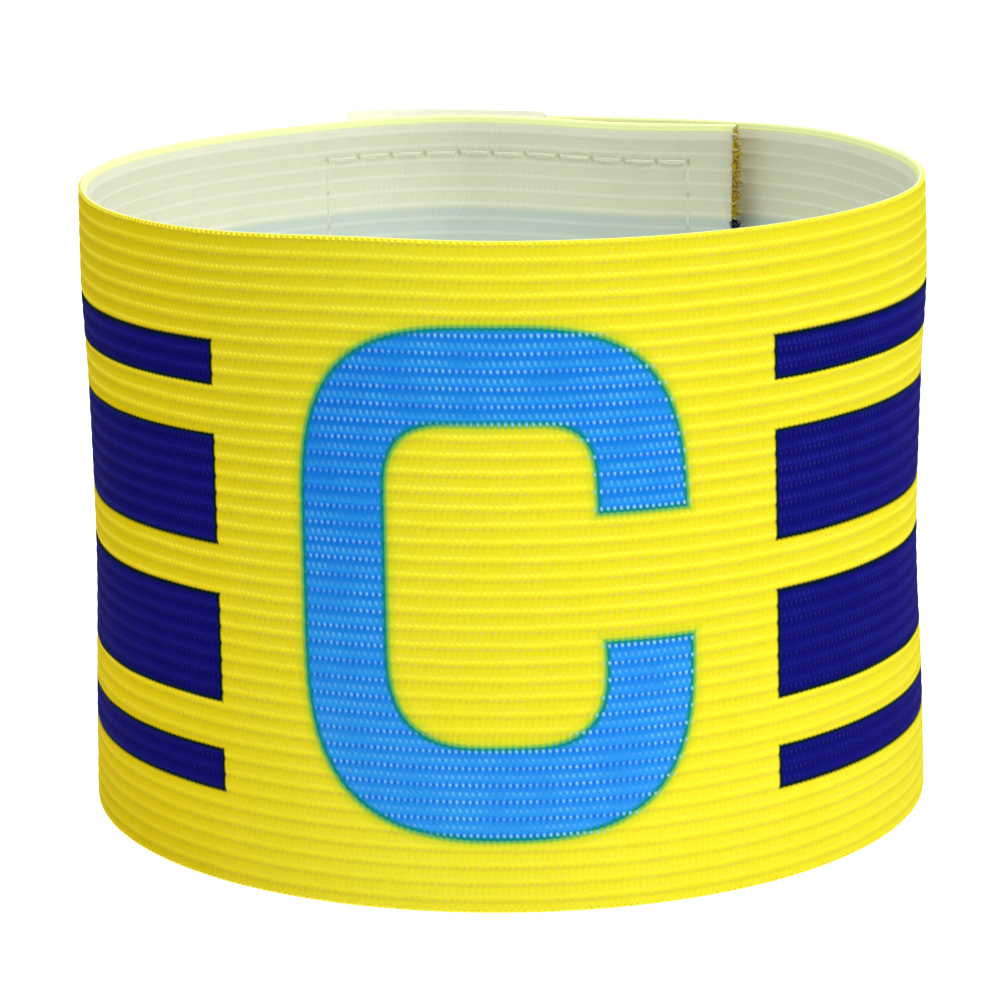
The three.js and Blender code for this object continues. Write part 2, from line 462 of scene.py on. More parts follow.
def rounded_box(u, v, left, right, foot, top, corners):
    """Signed distance to a box with a radius of its own at each corner, negative inside."""
    x = u - (left + right) / 2
    y = v - (foot + top) / 2
    is_right, is_top = x.above(0.0), y.above(0.0)
    right_radius = is_top * (corners["top_right"] - corners["foot_right"]) + corners["foot_right"]
    left_radius = is_top * (corners["top_left"] - corners["foot_left"]) + corners["foot_left"]
    radius = left_radius + is_right * (right_radius - left_radius)
    over_x = x.abs() - (right - left) / 2 + radius
    over_y = y.abs() - (top - foot) / 2 + radius
    past = over_x.most(0.0).power(CORNER_POWER) + over_y.most(0.0).power(CORNER_POWER)
    return over_x.most(over_y).least(0.0) + past.power(1 / CORNER_POWER) - radius


def plain_box(u, v, left, right, foot, top):
    across = (u - (left + right) / 2).abs() - (right - left) / 2
    return across.most((v - (foot + top) / 2).abs() - (top - foot) / 2)


def letter_distance(u, v):
    """Signed distance to the letter C."""
    rise = (v - STRAP_HEIGHT / 2) * u.above(0.0)
    outer = rounded_box(
        u + rise * LETTER_LEAN, v, LETTER_LEFT, LETTER_RIGHT, LETTER_FOOT, LETTER_TOP, LETTER_CORNERS
    )
    opening = rounded_box(
        u + rise * OPENING_LEAN, v, OPENING_LEFT, OPENING_RIGHT, OPENING_FOOT, OPENING_TOP, OPENING_CORNERS
    )
    gap = plain_box(u, v, 0.0, 2 * LETTER_RIGHT, ARM_GAP_FOOT, ARM_GAP_TOP)
    return outer.most(-(opening.least(gap)))


def stripe_distance(u, v):
    """Signed distance to the stripes, which run from each side of the letter round to the strap's ends."""
    across = None
    for foot, top in STRIPES:
        stripe = (v - (foot + top) / 2).abs() - (top - foot) / 2
        across = stripe if across is None else across.least(stripe)
    lean = (v - STRAP_HEIGHT / 2) * STRIPE_LEAN
    start = (-(u + lean) + STRIPE_RIGHT_END).least(u - STRIPE_LEFT_END)
    return across.most(start)


# Colours
YELLOW = srgb(204, 195, 32)
# Lighter and darker copies of each dye carry painted light and painted shade on the ribs, stitches and foot;
# the darker ones also carry mottle and stitch hatching, and the lighter yellow is also a paler tone of the
# selvedge
YELLOW_PALE_AND_LIT = srgb(228, 222, 66)
YELLOW_DARK_AND_SHADED = srgb(188, 174, 4)
YELLOW_UNDYED = srgb(192, 173, 86)
YELLOW_GREEN = srgb(146, 171, 34)
# Painted shade: a deeper, more orange yellow for the strap's left side, where less light falls
YELLOW_SHADED_SIDE = srgb(210, 184, 6)
BLUE = srgb(26, 120, 190)
# Lighter and darker copies of the blue, for painted light and painted shade
BLUE_LIT = srgb(48, 142, 208)
BLUE_DARK_AND_SHADED = srgb(7, 93, 194)
BLUE_UNDYED = srgb(138, 200, 226)
BLUE_EDGE = srgb(2, 112, 96)
GREEN_EDGE = srgb(70, 160, 60)
NAVY = srgb(12, 11, 100)
# Lighter and darker copies of the navy, for painted light and painted shade
NAVY_LIT = srgb(28, 28, 122)
NAVY_DARK_AND_SHADED = srgb(4, 3, 69)
NAVY_UNDYED = srgb(49, 55, 139)
NAVY_EDGE = srgb(0, 21, 16)
LIME = srgb(235, 245, 176)
CREAM = srgb(227, 229, 208)
CREAM_DARK = srgb(221, 220, 194)
CREAM_LIGHT = srgb(236, 240, 226)
GHOST = srgb(194, 208, 205)
GHOST_LIGHT = srgb(214, 226, 218)
CREAM_SHADE = srgb(198, 197, 176)
NEEDLE_HOLE = srgb(186, 160, 112)
LIME_WORN = srgb(217, 224, 121)
NYLON, NYLON_SHADE = srgb(234, 238, 231), srgb(219, 227, 217)
NYLON_GLOW = (0.94, 1.0, 0.92, 1)
PILE, PILE_SHADE = srgb(221, 219, 209), srgb(200, 198, 187)
THREAD, THREAD_LIGHT = srgb(222, 223, 202), srgb(227, 229, 209)
YARN_BROWN = srgb(206, 160, 90)
YARN_PALE = srgb(226, 216, 156)
YARN_TOP = srgb(212, 204, 166)


def knit_fields(tree, u, v):
    """Signed distance to the nearest groove, height over the groove below, and count of stitches."""
    rib = (v - RIB_PHASE) * (1 / RIB_PITCH)
    groove = ((rib + 0.5).fraction() - 0.5) * RIB_PITCH
    over = rib.fraction() * RIB_PITCH
    stitch = u * (1 / STITCH_PITCH) + noise(tree, u, v, 0.08, 1.0, 4.0) * 0.6
    return groove, over, stitch


def dyed_colour(tree, u, v):
    """Colour of the dyed face with painted light and shade on its ribs, and the height of its stitches for
    the bump.
    """
    groove, over, stitch = knit_fields(tree, u, v)
    # Painted shade along each groove
    line = groove.abs().smooth(0.42, 0.06)
    patchy = noise(tree, u, v, 0.22, 2.0, 1.0).smooth(0.3, 0.7)
    groove_dots = (stitch + groove * 0.2).wave().power(2.2) * groove.hump(0.0, 0.32)
    rib_dots = (stitch + (over - 0.9) * 0.2).wave(0.5).power(2.4) * over.hump(0.9, 0.36)
    strokes = (stitch + (over - 0.6) * 1.3).wave(0.4).power(1.4) * over.hump(0.6, 0.3)
    # Strength of the painted light and shade on the ribs, growing towards the top
    painted_rib_light_strength = v.smooth(6.0, 48.0) * 0.6 + 0.4
    # Painted shade on the left side, where less light falls: the yellow deepens to orange there and fewer
    # bare dots show
    shaded_left = u.smooth(-8.0, -52.0)
    undyed = (groove_dots * (patchy * 0.6 + 0.4)).most(rib_dots * (patchy * 0.5 + 0.05))
    undyed = undyed * (shaded_left * -0.55 + 1.0)
    zigzag = (stitch.fraction() - 0.5).abs() - 0.25
    letter = letter_distance(u, v + zigzag * 0.25)
    stripes = stripe_distance(u, v + zigzag * 0.12)
    shade = noise(tree, u, v, 0.05, 3.0, 7.0).smooth(0.25, 0.75)
    hatch = (stitch + over * 0.25).wave(0.25) * noise(tree, u, v, 0.5, 2.0, 12.0)
    # Painted light: a highlight on the stitch strokes and a lit band just over each groove
    painted_light = (strokes * (patchy * 0.4 + 0.55)).most(over.hump(0.6, 0.4) * 0.16) * painted_rib_light_strength
    # Painted shade along the grooves and on the upper side of each rib, with random mottle and stitch
    # hatching
    painted_shade_and_mottle = line * 0.34 + over.hump(1.3, 0.5) * painted_rib_light_strength * 0.14 + shade * 0.14 + hatch * 0.3

    def knitted(base, lit_colour, shaded_colour, bare, bareness, depth=1.0):
        """A dye with its painted light and shade (depth scales the shade), and bare yarn that shows through
        by bareness.
        """
        colour = blend_colours(tree, painted_shade_and_mottle * depth, base, shaded_colour)
        colour = blend_colours(tree, painted_light, colour, lit_colour)
        return blend_colours(tree, undyed * bareness, colour, bare)

    # Painted light: the yellow grows lighter towards the foot
    yellow_lit_below = blend_colours(tree, v.smooth(30.0, 4.0) * 0.15, YELLOW, YELLOW_PALE_AND_LIT)
    # Painted shade: the yellow turns deeper and more orange on the left side
    yellow_lit_and_shaded = blend_colours(tree, shaded_left, yellow_lit_below, YELLOW_SHADED_SIDE)
    yellow = knitted(yellow_lit_and_shaded, YELLOW_PALE_AND_LIT, YELLOW_DARK_AND_SHADED, YELLOW_UNDYED, 1.0)
    # Painted light: the blue grows lighter towards the foot
    blue_lit_below = blend_colours(tree, v.smooth(46.0, 8.0) * 0.6, BLUE, BLUE_LIT)
    blue = knitted(blue_lit_below, BLUE_LIT, BLUE_DARK_AND_SHADED, BLUE_UNDYED, 0.8, 1.7)
    navy = knitted(NAVY, NAVY_LIT, NAVY_DARK_AND_SHADED, NAVY_UNDYED, 0.4)
    yellow = blend_colours(tree, letter.smooth(1.3, 0.0) * 0.5, yellow, YELLOW_GREEN)
    blue = blend_colours(tree, (letter + 0.5).smooth(-0.3, 0.24) * 0.95, blue, BLUE_EDGE)
    navy = blend_colours(tree, (stripes + 0.46).smooth(-0.2, 0.26), navy, NAVY_EDGE)
    colour = blend_colours(tree, letter.smooth(0.26, -0.26), yellow, blue)
    colour = blend_colours(tree, letter.hump(0.04, 0.34) * 0.6, colour, GREEN_EDGE)
    edge_dots = groove_dots * letter.hump(-0.3, 1.0) * u.smooth(-14.0, 2.0)
    colour = blend_colours(tree, edge_dots * 0.8, colour, BLUE_UNDYED)
    colour = blend_colours(tree, stripes.smooth(0.2, -0.16), colour, navy)
    strands = noise(tree, u * 6.0, v, 1.1, 2.0, 2.0) * 0.4
    return colour, groove_dots * 0.5 + rib_dots * 0.3 + strokes * 0.5 + hatch * -0.4 + strands


def make_knit_outer():
    material, tree, shader = new_material("knit_outer")
    u, v = strap_place(tree)
    colour, height = dyed_colour(tree, u, v)
    wrapped = (v - STRAP_HEIGHT / 2).abs().smooth(STRAP_HEIGHT / 2, STRAP_HEIGHT / 2 + 0.4)
    colour = blend_colours(tree, wrapped, colour, LIME)
    tree.links.new(colour, shader.inputs["Base Color"])
    shader.inputs["Roughness"].default_value = 0.9
    shader.inputs["Specular IOR Level"].default_value = 0.02
    add_bump(tree, shader, height, 0.08)
    return material


def make_knit_inner():
    material, tree, shader = new_material("knit_inner")
    u, v = strap_place(tree)
    _, over, stitch = knit_fields(tree, u, v)
    from_line = ((v * (1 / RIB_PITCH) + 0.5).fraction() - 0.5) * RIB_PITCH
    line = from_line.abs().smooth(0.34, 0.06)
    weave = (stitch + over * 0.5).wave() * noise(tree, u, v, 0.6, 2.0, 3.0)
    blotch = noise(tree, u, v, 0.09, 3.0, 5.0).smooth(0.2, 0.8)
    cream = blend_colours(tree, blotch * 0.6, CREAM, CREAM_DARK)
    printed = letter_distance(u, v).least(stripe_distance(u, v))
    ghost = printed.smooth(0.4, -0.3) * (blotch * 0.15 + 0.8)
    colour = blend_colours(tree, ghost, cream, GHOST)
    colour = blend_colours(tree, line * 0.6, colour, blend_colours(tree, ghost, CREAM_LIGHT, GHOST_LIGHT))
    colour = blend_colours(tree, weave * 0.16, colour, CREAM_SHADE)
    rim = (v - STRAP_HEIGHT / 2).abs().smooth(STRAP_HEIGHT / 2 - 0.45, STRAP_HEIGHT / 2 - 0.2)
    colour = blend_colours(tree, rim, colour, LIME)
    holes = needle_holes(u, v)
    colour = blend_colours(tree, holes * 0.5, colour, NEEDLE_HOLE)
    tree.links.new(colour, shader.inputs["Base Color"])
    shader.inputs["Roughness"].default_value = 0.9
    shader.inputs["Specular IOR Level"].default_value = 0.05
    strands = noise(tree, u * 5.0, v, 1.2, 2.0, 6.0) * 0.35
    add_bump(tree, shader, weave * 0.3 + line * 0.2 + strands - holes * 0.8, 0.07)
    return material


def make_selvedge():
    """The yarn that binds the long edges: dyed on the outside, and pale where it wraps over."""
    material, tree, shader = new_material("selvedge")
    u, v = strap_place(tree)
    wrapped = (v - STRAP_HEIGHT / 2).abs().smooth(STRAP_HEIGHT / 2 + 0.05, STRAP_HEIGHT / 2 + 0.45)
    uneven = noise(tree, u, v, 0.9, 2.0, 8.0).smooth(0.3, 0.7)
    dyed = blend_colours(tree, uneven * 0.5, YELLOW_PALE_AND_LIT, YELLOW)
    pale = blend_colours(tree, uneven * 0.25, LIME, LIME_WORN)
    tree.links.new(blend_colours(tree, wrapped, dyed, pale), shader.inputs["Base Color"])
    shader.inputs["Roughness"].default_value = 0.85
    shader.inputs["Specular IOR Level"].default_value = 0.05
    add_bump(tree, shader, noise(tree, u * 2.0, v * 5.0, 1.6, 2.0, 3.0), 0.04)
    return material


# Seams

def loop_patch_turns():
    start = INNER_END_TURN + math.degrees(LOOP_END_GAP / STRAP_RADIUS)
    return start, start + math.degrees(LOOP_LENGTH / STRAP_RADIUS)


def hook_patch_turns():
    end = OUTER_END_TURN + math.degrees(HOOK_OVERHANG / STRAP_RADIUS)
    return end - math.degrees(HOOK_LENGTH / STRAP_RADIUS), end


def seam_box(turns, insets, inset_v, height):
    """Rectangle of a seam in u and v, with its stitches fitted to its sides."""
    left = float(u_of(turns[0])) + insets[0]
    right = float(u_of(turns[1])) - insets[1]
    foot, top = inset_v, height - inset_v
    return {
        "left": left, "right": right, "foot": foot, "top": top,
        "across": (right - left) / round((right - left) / SEAM_STITCH),
        "up": (top - foot) / round((top - foot) / SEAM_STITCH),
    }


LOOP_SEAM = seam_box(loop_patch_turns(), (2.0, 2.45), 4.5, STRAP_HEIGHT)
HOOK_SEAM = seam_box(hook_patch_turns(), (1.7, 2.0), 2.6, STRAP_HEIGHT)


def needle_holes(u, v):
    """1 in the needle holes of the loop patch's seam, which shows on the strap's inner face."""
    seam = LOOP_SEAM
    half_u, half_v = (seam["right"] - seam["left"]) / 2, (seam["top"] - seam["foot"]) / 2
    inside_u = (u - seam["left"] - half_u).abs().smooth(half_u + 0.5, half_u + 0.4)
    inside_v = (v - seam["foot"] - half_v).abs().smooth(half_v + 0.7, half_v + 0.6)
    along = ((u - seam["left"]) * (1 / seam["across"]) + 0.5).fraction() - 0.5
    upward = ((v - seam["foot"]) * (1 / seam["up"]) + 0.5).fraction() - 0.5
    holes = None
    for level in (seam["foot"], seam["top"]):
        over_u = along * (seam["across"] / LEVEL_HOLE[0]) - (v - level) * HOLE_SLANT
        over_v = (v - level) * (1 / LEVEL_HOLE[1])
        spot = (over_u.power(2.0) + over_v.power(2.0)).smooth(1.5, 0.1) * inside_u
        holes = spot if holes is None else holes.most(spot)
    for side in (seam["left"], seam["right"]):
        over_u = (u - side) * (1 / UPRIGHT_HOLE[0])
        over_v = upward * (seam["up"] / UPRIGHT_HOLE[1])
        spot = (over_u.power(2.0) + over_v.power(2.0)).smooth(1.5, 0.1) * inside_v
        holes = holes.most(spot * 0.6)
    return holes


def add_stitch(heap, start, end, inward, lift):
    """One stitch on the strap from start to end, each (u, v), arched off the face by lift."""
    shares = np.linspace(0, 1, 9)
    arch = np.sin(np.pi * shares) ** 0.6
    along = np.array(start)[None] + shares[:, None] * (np.array(end) - np.array(start))[None]
    depth = inward + lift * arch
    path = strap_points(turn_of(along[:, 0]), along[:, 1], depth)
    radii = THREAD_RADIUS * (0.5 + 0.5 * np.sin(np.pi * shares) ** 0.4)
    points, faces = tube(path, radii, 8, THREAD_SQUASH)
    heap.add(points, faces, along[0])


def add_seam(heap, seam, inward, lift, seed):
    """Rectangle of stitches. The upright rows pull deeper into the knit than the level ones."""
    source = random.Random(seed)

    def row(start, step, count, sink):
        for index in range(count):
            begin = np.array(start) + np.array(step) * index
            unit = np.array(step) / np.linalg.norm(step)
            side = np.array([unit[1], -unit[0]]) * source.uniform(-0.09, 0.09)
            first = begin + unit * SEAM_GAP / 2 + side
            last = begin + np.array(step) - unit * SEAM_GAP / 2 + side
            add_stitch(heap, first, last, inward - sink * lift, lift)

    across = round((seam["right"] - seam["left"]) / seam["across"])
    up = round((seam["top"] - seam["foot"]) / seam["up"])
    for level in (seam["foot"], seam["top"]):
        row((seam["left"], level), (seam["across"], 0.0), across, LEVEL_ROW_SINK)
    for side in (seam["left"], seam["right"]):
        row((side, seam["foot"]), (0.0, seam["up"]), up, UPRIGHT_ROW_SINK)


# Strap

# Points of the section over each groove outside and each line inside, for ribs of OFFSET_PITCH
OFFSET_PITCH = 1.79
RIB_OFFSETS = (0.0, 0.12, 0.26, 0.45, 0.9, 1.34, 1.53, 1.67)
BACK_OFFSETS = (0.0, 0.2, 0.42, 1.37, 1.59)
RIB_CROWN = 0.03
BACK_LINE_WIDTH = 0.3
RIB_WANDER, WANDER_LENGTH = 0.06, 9.0
RIB_SWELL, SWELL_LENGTH = 0.035, 6.0

# Section over the long edges: distance from the edge, and inward
EDGE_START = 0.45
EDGE_SECTION = (
    (0.38, 0.1), (0.14, 0.17), (0.03, 0.29), (0.0, 0.41), (0.04, 0.54), (0.16, 0.66), (0.34, 0.74),
)
EDGE_WRAP = 1.5  # mm of v for each mm inward over the edges
EDGE_V = 0.3  # v starts this far inside the edge


def wall_at(height):
    """Thickness of the strap, which thins towards its two long edges."""
    near = min(height, STRAP_HEIGHT - height) / SELVEDGE_REACH
    return STRAP_WALL - SELVEDGE_THINNING * (1 - min(near, 1)) ** 2


def strap_section():
    """Section of the strap: (height, inward, v of the UV, is_inner), up the outer face and down the inner."""
    section = []
    for rib in range(RIB_COUNT + 1):
        for offset in RIB_OFFSETS:
            height = RIB_PHASE + rib * RIB_PITCH + offset * RIB_PITCH / OFFSET_PITCH
            if height < EDGE_START or height > STRAP_HEIGHT - EDGE_START:
                continue
            to_groove = min(offset, OFFSET_PITCH - offset)
            crown = RIB_CROWN * (1 - math.sin(math.pi * offset / OFFSET_PITCH))
            inward = GROOVE_DEPTH * math.exp(-((to_groove / GROOVE_WIDTH) ** 2)) + crown
            section.append((height, inward, height, 0))
    for down, inward in EDGE_SECTION:
        edge_v = inward * EDGE_WRAP - EDGE_V
        section.append((STRAP_HEIGHT - down, inward, STRAP_HEIGHT + edge_v, 0))
    for rib in range(RIB_COUNT, 0, -1):
        for offset in BACK_OFFSETS:
            height = rib * RIB_PITCH - offset * RIB_PITCH / OFFSET_PITCH
            if height < EDGE_START or height > STRAP_HEIGHT - EDGE_START:
                continue
            to_line = min(offset, OFFSET_PITCH - offset)
            line = BACK_LINE_HEIGHT * math.exp(-((to_line / BACK_LINE_WIDTH) ** 2))
            inward = wall_at(height) + line
            section.append((height, inward, height, 1))
    for down, inward in reversed(EDGE_SECTION):
        section.append((down, inward, EDGE_V - inward * EDGE_WRAP, 0))
    return np.array(section)


def make_strap(outer, inner):
    """The knitted strap, its ribs uneven along their length, closed at its two cut ends."""
    section = strap_section()
    count = len(section)
    turns = np.linspace(INNER_END_TURN, OUTER_END_TURN, STRAP_STEPS + 1)
    lengths = u_of(turns)
    heights = np.tile(section[:, 0], (len(turns), 1))
    inward = np.tile(section[:, 1], (len(turns), 1))
    inner_face = section[:, 3] > 0.5
    for rib in range(RIB_COUNT + 1):
        place = section[:, 0] / RIB_PITCH - rib
        near = np.abs(place) < 0.5
        falloff = np.cos(np.pi * place[near])
        if 0 < rib < RIB_COUNT:
            wander = RIB_WANDER * waver(lengths, WANDER_LENGTH, rib)
            swell = RIB_SWELL * waver(lengths, SWELL_LENGTH, 100 + rib)[:, None] * falloff[None]
            heights[:, near] += wander[:, None] * falloff[None]
            inward[:, near] += np.where(inner_face[near], 0.3, 1.0)[None] * swell
    grid_turns = np.repeat(turns, count)
    points = strap_points(grid_turns, heights.ravel(), inward.ravel())
    uv = np.stack([np.repeat(lengths, count), np.tile(section[:, 2], len(turns))], 1)
    faces = ring_faces(len(turns), count)
    is_inner = (section[:, 3] > 0.5) | (np.roll(section[:, 3], -1) > 0.5)
    face_materials = list(np.tile(is_inner.astype(int), len(turns) - 1))
    outer_count = int(np.argmax(section[:, 3] > 0.5))
    start = cap_faces(section[:, 0], outer_count)
    last = (len(turns) - 1) * count
    faces += [tuple(reversed(face)) for face in start]
    faces += [tuple(index + last for index in face) for face in start]
    face_materials += [0] * (2 * len(start))
    return make_piece("strap", points, faces, [outer, inner], uv, face_materials)


def cap_faces(heights, outer_count):
    """Triangles over one section, between its outer and inner points from the foot to the rim."""
    faces = []
    outer, inner = 0, len(heights) - 1
    while outer < outer_count - 1 or inner > outer_count:
        can_outer, can_inner = outer < outer_count - 1, inner > outer_count
        if can_outer and (not can_inner or heights[outer + 1] <= heights[inner - 1]):
            faces.append((outer, outer + 1, inner))
            outer += 1
        else:
            faces.append((outer, inner - 1, inner))
            inner -= 1
    return faces


# Loops of yarn that bind the two long edges

BEAD_SIDES = 6
BEAD_RADIUS = 0.25
BEAD_LEAN = 0.2
BEAD_ARCH = 0.2
BEAD_SINK = 0.38


def make_edge_loops(name, height, sign, material):
    heap = Heap()
    source = random.Random(17 if sign > 0 else 23)
    count = int(STRAP_LENGTH / STITCH_PITCH)
    shares = np.linspace(0, 1, 6)
    arch = np.sin(np.pi * shares)
    depth = 0.14 + shares * 0.54
    for index in range(count):
        u = STRAP_START + (index + 0.5) * STRAP_LENGTH / count
        size = source.uniform(0.9, 1.1)
        along = u + (shares - 0.5) * STITCH_PITCH * 1.1 + BEAD_LEAN * (1 - arch)
        levels = height + sign * (arch * BEAD_ARCH - BEAD_SINK - 0.1 * shares) * size
        path = strap_points(turn_of(along), levels, depth)
        if sign < 0:
            path[:, 2] = np.maximum(path[:, 2], BEAD_RADIUS)
        radii = BEAD_RADIUS * size * (0.7 + 0.3 * arch) * (1 - 0.3 * shares)
        points, faces = tube(path, radii, BEAD_SIDES)
        ring_v = height + sign * (np.repeat(depth, BEAD_SIDES) * EDGE_WRAP - EDGE_V)
        heap.add(points, faces, np.stack([np.full(len(points), u), ring_v], 1))
    return heap.piece(name, [material])


# Frayed yarn at the two cut ends

YARN_RADII = (0.07, 0.17)
YARN_ROOT = 0.25
YARN_MARGIN = 0.4
YARN_DEPTHS = (0.02, 1.18)


def make_fray(name, end_turn, direction, count, reach, seed, material):
    """Loose yarn ends along a cut. direction is the way the yarn points along the strap."""
    heap = Heap()
    source = random.Random(seed)
    u_end = float(u_of(end_turn))
    heading = strap_heading(end_turn)
    for _ in range(count):
        v = source.uniform(YARN_MARGIN, STRAP_HEIGHT - YARN_MARGIN)
        depth = source.uniform(YARN_DEPTHS[0], 0.6 + 0.5 * wall_at(v))
        length = reach * source.uniform(0.35, 1.0)
        curl_v = source.uniform(-0.5, 0.5)
        curl_out = source.uniform(-0.35, 0.35)
        shares = np.linspace(0, 1, 5)
        past_cut = direction * (length * shares - YARN_ROOT)
        levels = np.clip(v + curl_v * shares ** 1.6, 0.1, STRAP_HEIGHT - 0.1)
        depths = np.clip(depth + curl_out * shares ** 1.5, *YARN_DEPTHS)
        root = strap_points(np.full(5, end_turn), levels, depths)
        path = root + heading[None] * past_cut[:, None]
        radii = source.uniform(*YARN_RADII) * (1 - 0.5 * shares)
        points, faces = tube(path, radii, 4)
        heap.add(points, faces, np.array([u_end - direction * 0.2, v]))
    return heap.piece(name, [material])


def strap_heading(turn):
    """Direction of growing u at a turn, at mid height."""
    step = 0.2
    ends = np.clip([turn - step, turn + step], INNER_END_TURN, OUTER_END_TURN)
    pair = strap_points(ends, [STRAP_HEIGHT / 2] * 2, [0, 0])
    return (pair[1] - pair[0]) / np.linalg.norm(pair[1] - pair[0])


# Hook and loop tapes

def tape_slab(name, turns, foot_at, height, depths, material, steps, levels, corners=(0.3, 0.3)):
    """Thin slab that follows the strap between two depths inward, from foot_at(turn) up by height.

    corners gives the radius of the corners at the slab's start and at its end.
    """
    shares = np.linspace(0, 1, levels)
    ring_shares = np.concatenate([shares, shares[::-1]])
    ring_depths = np.concatenate([np.full(levels, depths[0]), np.full(levels, depths[1])])
    places = turns[0] + (turns[1] - turns[0]) * (0.5 - 0.5 * np.cos(np.linspace(0, np.pi, steps + 1)))
    start_u, end_u = float(u_of(turns[0])), float(u_of(turns[1]))
    points, uv = [], []
    for turn in places:
        u = float(u_of(turn))
        cut = max(corner_cut(u - start_u, corners[0]), corner_cut(end_u - u, corners[1]))
        heights = foot_at(turn) + cut + ring_shares * (height - 2 * cut)
        points.append(strap_points(np.full(len(heights), turn), heights, ring_depths))
        uv.append(np.stack([np.full(2 * levels, u), heights], 1))
    count = 2 * levels
    faces = ring_faces(len(places), count)
    start = [(k, k + 1, count - 2 - k, count - 1 - k) for k in range(levels - 1)]
    last = (len(places) - 1) * count
    faces += [tuple(reversed(face)) for face in start]
    faces += [tuple(index + last for index in face) for face in start]
    return make_piece(name, np.concatenate(points), faces, [material], np.concatenate(uv), smooth=False)


def corner_cut(distance, radius):
    """How much a rounded corner takes off the height at a distance from the end."""
    left = max(radius - max(distance, 0.0), 0.0)
    return radius - math.sqrt(radius ** 2 - left ** 2)


def hook_foot(turn):
    start, end = hook_patch_turns()
    share = (turn - start) / (end - start)
    return STRAP_HEIGHT + HOOK_RISE + HOOK_TILT * share ** 2 - HOOK_HEIGHT


def loop_foot(_turn):
    return (STRAP_HEIGHT - LOOP_HEIGHT) / 2


def make_hook_tape(material):
    near = STRAP_WALL + CLEARANCE
    return tape_slab(
        "hook_tape", hook_patch_turns(), hook_foot, HOOK_HEIGHT, (near, near + TAPE_BASE), material,
        40, 30, corners=(1.4, 0.35),
    )


def make_loop_tape(material):
    near = -CLEARANCE - TAPE_BASE
    return tape_slab(
        "loop_tape", loop_patch_turns(), loop_foot, LOOP_HEIGHT, (near, -CLEARANCE), material, 48, 30
    )


HOOK_PITCH_U = 1.15
HOOK_PITCH_V = 1.5
HOOK_EDGE = 1.3
HOOK_RADIUS = 0.1
HOOK_REACH = 0.28
TAPE_SINK = 0.04  # the hooks start this far inside their tape


def make_hooks(material):
    """Rows of small nylon hooks on the hook tape, which point at the loops."""
    heap = Heap()
    start, end = hook_patch_turns()
    left, right = float(u_of(start)) + HOOK_EDGE, float(u_of(end)) - HOOK_EDGE
    base = STRAP_WALL + CLEARANCE + TAPE_BASE - TAPE_SINK
    tall = HOOK_THICKNESS - TAPE_BASE
    bend = np.linspace(0, 1, 7)
    lean = np.where(bend < 0.5, 0, np.sin((bend - 0.5) * 2 * np.pi * 0.75)) * HOOK_REACH
    rise = np.interp(bend, [0, 0.5, 0.75, 1], [0, 0.75, 1, 0.72]) * tall
    rows = int((HOOK_HEIGHT - 2 * HOOK_EDGE) / HOOK_PITCH_V)
    for row in range(rows + 1):
        for index, u in enumerate(np.arange(left, right, HOOK_PITCH_U)):
            turn = float(turn_of(u))
            v = hook_foot(turn) + HOOK_EDGE + row * HOOK_PITCH_V + (index % 2) * HOOK_PITCH_V / 2
            if v > hook_foot(turn) + HOOK_HEIGHT - HOOK_EDGE:
                continue
            path = strap_points(np.full(7, turn), v + lean, base + rise)
            points, faces = tube(path, HOOK_RADIUS * (1 - 0.25 * bend), 5)
            heap.add(points, faces, np.array([u, v]))
    return heap.piece("hooks", [material])


PILE_LOOPS = 3400
PILE_EDGE = 0.9
PILE_RADIUS = 0.05


def make_pile(material):
    """Brushed loops of fine yarn on the loop tape."""
    heap = Heap()
    source = random.Random(5)
    start, end = loop_patch_turns()
    left, right = float(u_of(start)) + PILE_EDGE, float(u_of(end)) - PILE_EDGE
    foot, top = loop_foot(0) + PILE_EDGE, loop_foot(0) + LOOP_HEIGHT - PILE_EDGE
    base = -CLEARANCE - TAPE_BASE + PILE_RADIUS
    for _ in range(PILE_LOOPS):
        u, v = source.uniform(left, right), source.uniform(foot, top)
        angle = source.uniform(0, 2 * math.pi)
        width = source.uniform(0.35, 0.9)
        tall = source.uniform(0.4, LOOP_THICKNESS - TAPE_BASE + 0.1)
        shares = np.linspace(0, 1, 7)
        along = u + (shares - 0.5) * width * math.cos(angle)
        levels = v + (shares - 0.5) * width * math.sin(angle) + 0.1 * np.sin(shares * 5 + angle)
        depth = base - tall * np.sin(np.pi * shares) ** 0.7
        path = strap_points(turn_of(along), levels, depth)
        points, faces = tube(path, np.full(7, PILE_RADIUS), 3)
        heap.add(points, faces, np.array([u, v]))
    return heap.piece("loop_pile", [material])


def make_hook_material():
    material, tree, shader = new_material("hook_nylon")
    u, v = strap_place(tree)
    cloudy = noise(tree, u, v, 0.35, 3.0, 1.0)
    ribs = (v * (1 / 0.5)).wave() * 0.2 + (u * (1 / 0.42)).wave() * 0.12
    colour = blend_colours(tree, cloudy.smooth(0.35, 0.65), NYLON, NYLON_SHADE)
    tree.links.new(colour, shader.inputs["Base Color"])
    shader.inputs["Roughness"].default_value = 0.42
    # Painted glow: the tape glows a little, standing in for the light that comes through it from behind
    shader.inputs["Emission Color"].default_value = NYLON_GLOW
    shader.inputs["Emission Strength"].default_value = 0.4  # light that comes through the thin tape
    add_bump(tree, shader, ribs, 0.05)
    return material


def make_loop_material():
    material, tree, shader = new_material("loop_fabric")
    u, v = strap_place(tree)
    fuzz = noise(tree, u, v, 1.6, 4.0, 1.0)
    colour = blend_colours(tree, fuzz.smooth(0.35, 0.65) * 0.6, PILE, PILE_SHADE)
    tree.links.new(colour, shader.inputs["Base Color"])
    shader.inputs["Roughness"].default_value = 0.85
    shader.inputs["Sheen Weight"].default_value = 0.25
    add_bump(tree, shader, fuzz, 0.12)
    return material


